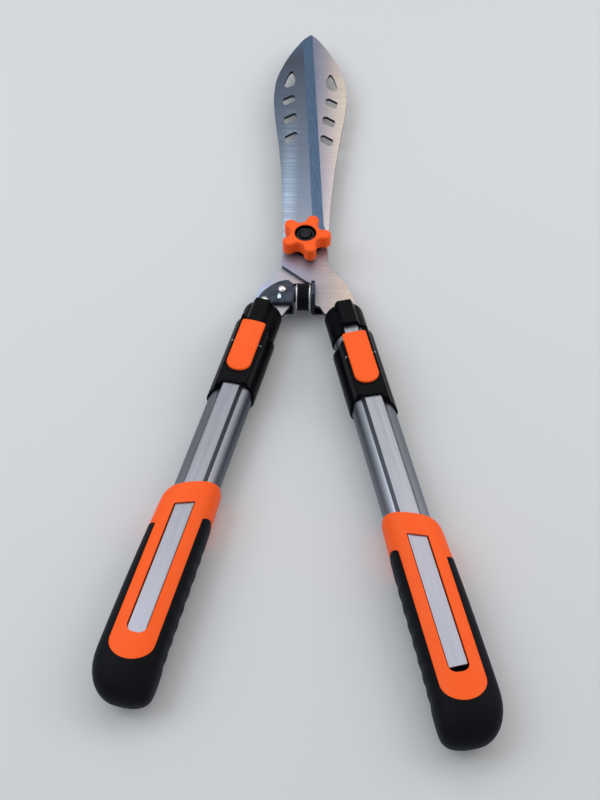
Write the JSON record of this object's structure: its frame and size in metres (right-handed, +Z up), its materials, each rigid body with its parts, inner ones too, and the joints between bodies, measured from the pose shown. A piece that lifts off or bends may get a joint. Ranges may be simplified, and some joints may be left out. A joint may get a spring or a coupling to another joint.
{
  "type": "telescopic hedge shears",
  "caption": "Two-handed hedge shears: long straight crossed blades on a knob-adjusted pivot, a rubber bumper, and telescopic tube handles with lever locks and soft grips.",
  "frame": {"origin": "centre of the flat underside of the pivot bolt's head, on the pivot axis", "axes": "+Z up along the pivot axis towards the tension knob, +Y towards the blade tips, +X to the right when seen from the knob side with the tips away"},
  "size_m": [0.2541, 0.6725, 0.0363],
  "materials": {
    "blade_steel": "satin, fine grain across the blade",
    "bracket_chrome": "polished, dark",
    "zinc_steel": "bright zinc",
    "dark_steel": "black oxide",
    "nylon": "natural nylon",
    "black_plastic": "moulded, semi-gloss",
    "orange_plastic": "fine moulded satin",
    "rubber": "soft, fine texture",
    "aluminium": "satin, drawn lengthwise"
  },
  "bodies": {
    "rear_side": {"rear_blade": "blade_steel", "pivot_bolt": "dark_steel", "thrust_washer": "black_plastic", "left_bracket": "bracket_chrome", "left_rivet_upper": "zinc_steel", "left_rivet_lower": "zinc_steel", "bumper_disc_left": "zinc_steel", "bumper_rubber": "rubber", "bumper_disc_right": "zinc_steel", "bumper_screw": "dark_steel", "left_collar": "black_plastic", "left_inner_tube": "aluminium", "left_tang_pin": "zinc_steel", "left_slide_bush": "nylon"},
    "front_side": {"front_blade": "blade_steel", "pivot_bush": "nylon", "right_bracket": "bracket_chrome", "right_rivet_upper": "zinc_steel", "right_rivet_lower": "zinc_steel", "right_collar": "black_plastic", "right_inner_tube": "aluminium", "right_tang_pin": "zinc_steel", "right_slide_bush": "nylon"},
    "knob": {"tension_knob": "orange_plastic", "knob_nut": "dark_steel"},
    "left_outer": {"left_outer_tube": "aluminium", "left_lock_housing": "black_plastic", "left_housing_screw": "zinc_steel", "left_lever_pin": "zinc_steel", "left_lever_spring": "zinc_steel", "left_grip_shell": "orange_plastic", "left_grip_rubber": "rubber"},
    "right_outer": {"right_outer_tube": "aluminium", "right_lock_housing": "black_plastic", "right_housing_screw": "zinc_steel", "right_lever_pin": "zinc_steel", "right_lever_spring": "zinc_steel", "right_grip_shell": "orange_plastic", "right_grip_rubber": "rubber"},
    "left_lever": {"left_lock_lever": "orange_plastic"},
    "right_lever": {"right_lock_lever": "orange_plastic"}
  },
  "joints": [
    {"name": "blade_pivot", "type": "hinge", "parent": "rear_side", "child": "front_side", "pos_m": [0, 0, 0], "axis": [0, 0, 1], "range_deg": [0, 70]},
    {"name": "knob_turn", "type": "hinge", "parent": "rear_side", "child": "knob", "pos_m": [0, 0, 0], "axis": [0, 0, 1], "continuous": true},
    {"name": "left_telescope", "type": "slide", "parent": "rear_side", "child": "left_outer", "axis": [-0.2438, -0.9698, 0], "range_m": [0, 0.18]},
    {"name": "right_telescope", "type": "slide", "parent": "front_side", "child": "right_outer", "axis": [0.2438, -0.9698, 0], "range_m": [-0.009, 0.171]},
    {"name": "left_lever_press", "type": "hinge", "parent": "left_outer", "child": "left_lever", "pos_m": [-0.04122, -0.11051, 0.02305], "axis": [0.9698, -0.2438, 0], "range_deg": [0, 3.3], "deforming": ["left_lever_spring"]},
    {"name": "right_lever_press", "type": "hinge", "parent": "right_outer", "child": "right_lever", "pos_m": [0.04342, -0.11924, 0.02305], "axis": [0.9698, 0.2438, 0], "range_deg": [0, 3.3], "deforming": ["right_lever_spring"]}
  ]
}
